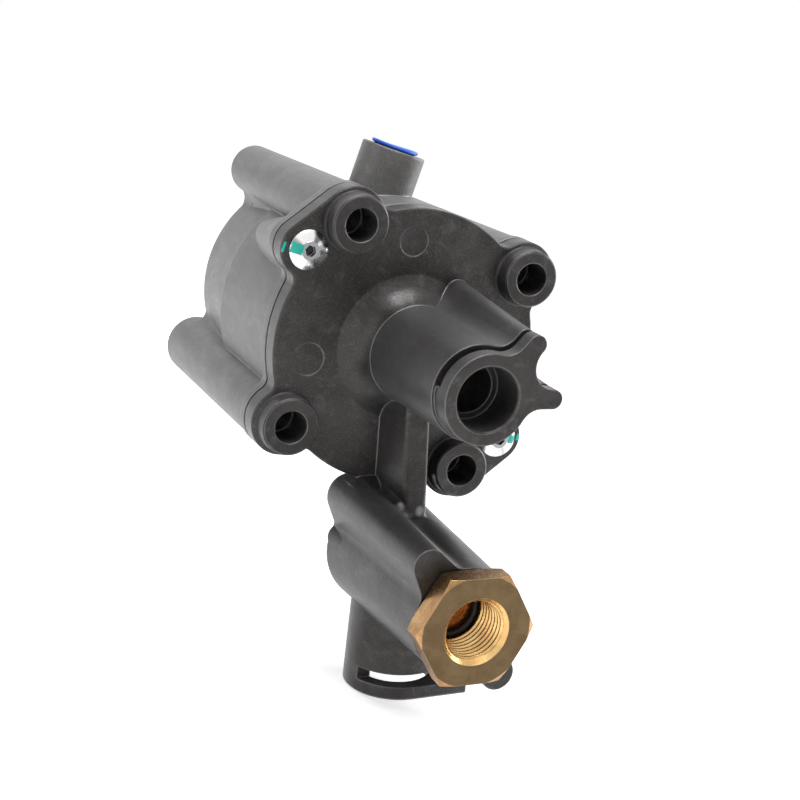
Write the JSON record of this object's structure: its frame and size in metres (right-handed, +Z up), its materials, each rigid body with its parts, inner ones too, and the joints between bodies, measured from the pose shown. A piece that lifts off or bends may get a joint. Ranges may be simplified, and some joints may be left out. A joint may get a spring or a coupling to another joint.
{
  "type": "gearbox inhibitor valve",
  "caption": "Die-cast air valve with a round piston housing on bolt columns, a ported front barrel and an angled arm ending in a brass supply adapter.",
  "frame": {"origin": "on the piston axis, in the plane of the front faces of the bolt bosses", "axes": "+Z up, towards the pilot port; -Y out of the front barrel, towards the person fitting the pipes; +X to the right seen from the front"},
  "size_m": [0.0826, 0.127, 0.1343],
  "materials": {
    "housing_casting": "matte die-cast",
    "cover_casting": "dark satin die-cast",
    "gasket": "matte",
    "screw_steel": "bright zinc plated",
    "plug_plastic": "satin",
    "brass": "machined",
    "copper_mesh": "sintered",
    "black_rubber": "matte",
    "turned_aluminium": "turned",
    "spring_steel": "drawn wire",
    "ground_steel": "ground",
    "white_plastic": "matte"
  },
  "bodies": {
    "valve_body": {"rear_housing": "housing_casting", "front_cover": "cover_casting", "cover_gasket": "gasket", "cover_screws": "screw_steel", "port_plug": "plug_plastic", "supply_adapter": "brass", "adapter_seal": "black_rubber", "port_seal": "black_rubber", "inlet_filter": "copper_mesh", "valve_seat": "brass", "poppet_spring": "spring_steel", "exhaust_spring": "spring_steel", "exhaust_retainer": "ground_steel", "valve_sleeve": "brass", "sleeve_seals": "black_rubber", "sleeve_retaining_ring": "ground_steel", "return_spring": "spring_steel", "plunger_bush": "brass", "plunger_seal": "black_rubber", "plunger_seal_cap": "ground_steel"},
    "piston_group": {"valve_spool": "ground_steel", "piston": "turned_aluminium", "piston_seal": "black_rubber", "piston_guide_band": "white_plastic", "plunger": "ground_steel"},
    "check_poppet": {"inlet_poppet": "white_plastic", "poppet_seal": "black_rubber"},
    "exhaust_flap": {"exhaust_disc": "black_rubber"}
  },
  "joints": [
    {"name": "piston_stroke", "type": "slide", "parent": "valve_body", "child": "piston_group", "axis": [0, 1, 0], "range_m": [0, 0.0065], "stiffness_N_per_m": 6000, "springref_m": -0.004, "deforming": ["return_spring"]},
    {"name": "poppet_lift", "type": "slide", "parent": "valve_body", "child": "check_poppet", "axis": [0, 1, 0], "range_m": [0, 0.004], "stiffness_N_per_m": 600, "springref_m": -0.002, "deforming": ["poppet_spring"]},
    {"name": "exhaust_lift", "type": "slide", "parent": "valve_body", "child": "exhaust_flap", "axis": [0.2874, 0, -0.9578], "range_m": [0, 0.0015], "stiffness_N_per_m": 300, "springref_m": -0.002, "deforming": ["exhaust_spring"]}
  ]
}
